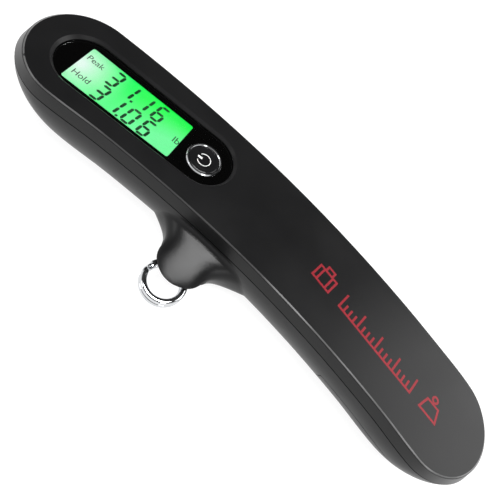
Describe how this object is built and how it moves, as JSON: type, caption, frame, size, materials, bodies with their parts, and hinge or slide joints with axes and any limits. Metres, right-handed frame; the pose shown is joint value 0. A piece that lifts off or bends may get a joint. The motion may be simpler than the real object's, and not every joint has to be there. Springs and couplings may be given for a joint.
{
  "type": "digital luggage scale",
  "caption": "Arched hand-held luggage scale with a lit display, a round power button, a funnel neck and a split ring for a strap.",
  "frame": {"origin": "bottom centre of the bounding box of the scale lying on its back", "axes": "+Z out of the flat front face, +X along the grip towards the battery end, -Y along the neck towards the ring"},
  "size_m": [0.1592, 0.0486, 0.0224],
  "materials": {
    "soft_black": "soft-touch satin black",
    "neck_shell": "soft-touch satin black",
    "screw_steel": "zinc-plated",
    "clear_lens": "polished clear",
    "black_print": "screen-printed gloss black",
    "display_glass": "polarised",
    "light_guide": "frosted",
    "lamp_white": "moulded",
    "frame_white": "moulded",
    "strip_pink": "striped silicone",
    "board_green": "solder mask",
    "resin_black": "resin drop",
    "chip_black": "moulded",
    "can_metal": "drawn can",
    "part_ceramic": "ceramic",
    "switch_black": "moulded",
    "stem_brown": "moulded",
    "button_black": "polished",
    "bezel_chrome": "plated",
    "beam_alloy": "milled",
    "gauge_foil": "polyimide foil",
    "sealant_white": "silicone",
    "rod_steel": "turned",
    "bush_white": "acetal",
    "ring_chrome": "nickel plated",
    "cell_jacket": "plain wrapper",
    "tray_black": "moulded",
    "contact_nickel": "nickel plated",
    "wire_red": "insulation",
    "wire_black": "insulation",
    "wire_white": "insulation"
  },
  "bodies": {
    "housing": {"front_cover": "soft_black", "back_shell": "neck_shell", "housing_screws": "screw_steel", "display_lens": "clear_lens", "lens_mask": "black_print", "lcd_glass": "display_glass", "light_panel": "light_guide", "light_led": "lamp_white", "lcd_frame": "frame_white", "contact_strip": "strip_pink", "main_pcb": "board_green", "pcb_screws": "screw_steel", "controller_blob": "resin_black", "converter_chip": "chip_black", "quartz_can": "can_metal", "small_parts": "part_ceramic", "tact_switch": "switch_black", "button_bezel": "bezel_chrome", "load_cell_beam": "beam_alloy", "strain_gauges": "gauge_foil", "gauge_coating": "sealant_white", "load_cell_screws": "screw_steel", "pull_rod": "rod_steel", "rod_washer": "screw_steel", "rod_nut": "screw_steel", "neck_bush": "bush_white", "battery_1": "cell_jacket", "battery_2": "cell_jacket", "battery_tray": "tray_black", "outer_contact": "contact_nickel", "positive_contact": "contact_nickel", "negative_contact": "contact_nickel", "battery_wire_red": "wire_red", "battery_wire_black": "wire_black", "gauge_wires": "wire_white"},
    "button": {"power_button": "button_black", "switch_plunger": "stem_brown"},
    "cover": {"battery_cover": "soft_black"},
    "ring": {"split_ring": "ring_chrome"}
  },
  "joints": [
    {"name": "power_button_press", "type": "slide", "parent": "housing", "child": "button", "axis": [0, 0, -1], "range_m": [0, 0.0004], "stiffness_N_per_m": 600, "springref_m": -0.0004},
    {"name": "battery_cover_slide", "type": "slide", "parent": "housing", "child": "cover", "axis": [0.9915, -0.1304, 0], "range_m": [0, 0.05]},
    {"name": "ring_swing", "type": "hinge", "parent": "housing", "child": "ring", "pos_m": [-0.01185, -0.01307, 0.00902], "axis": [1, 0, 0], "range_deg": [-6, 70]}
  ]
}
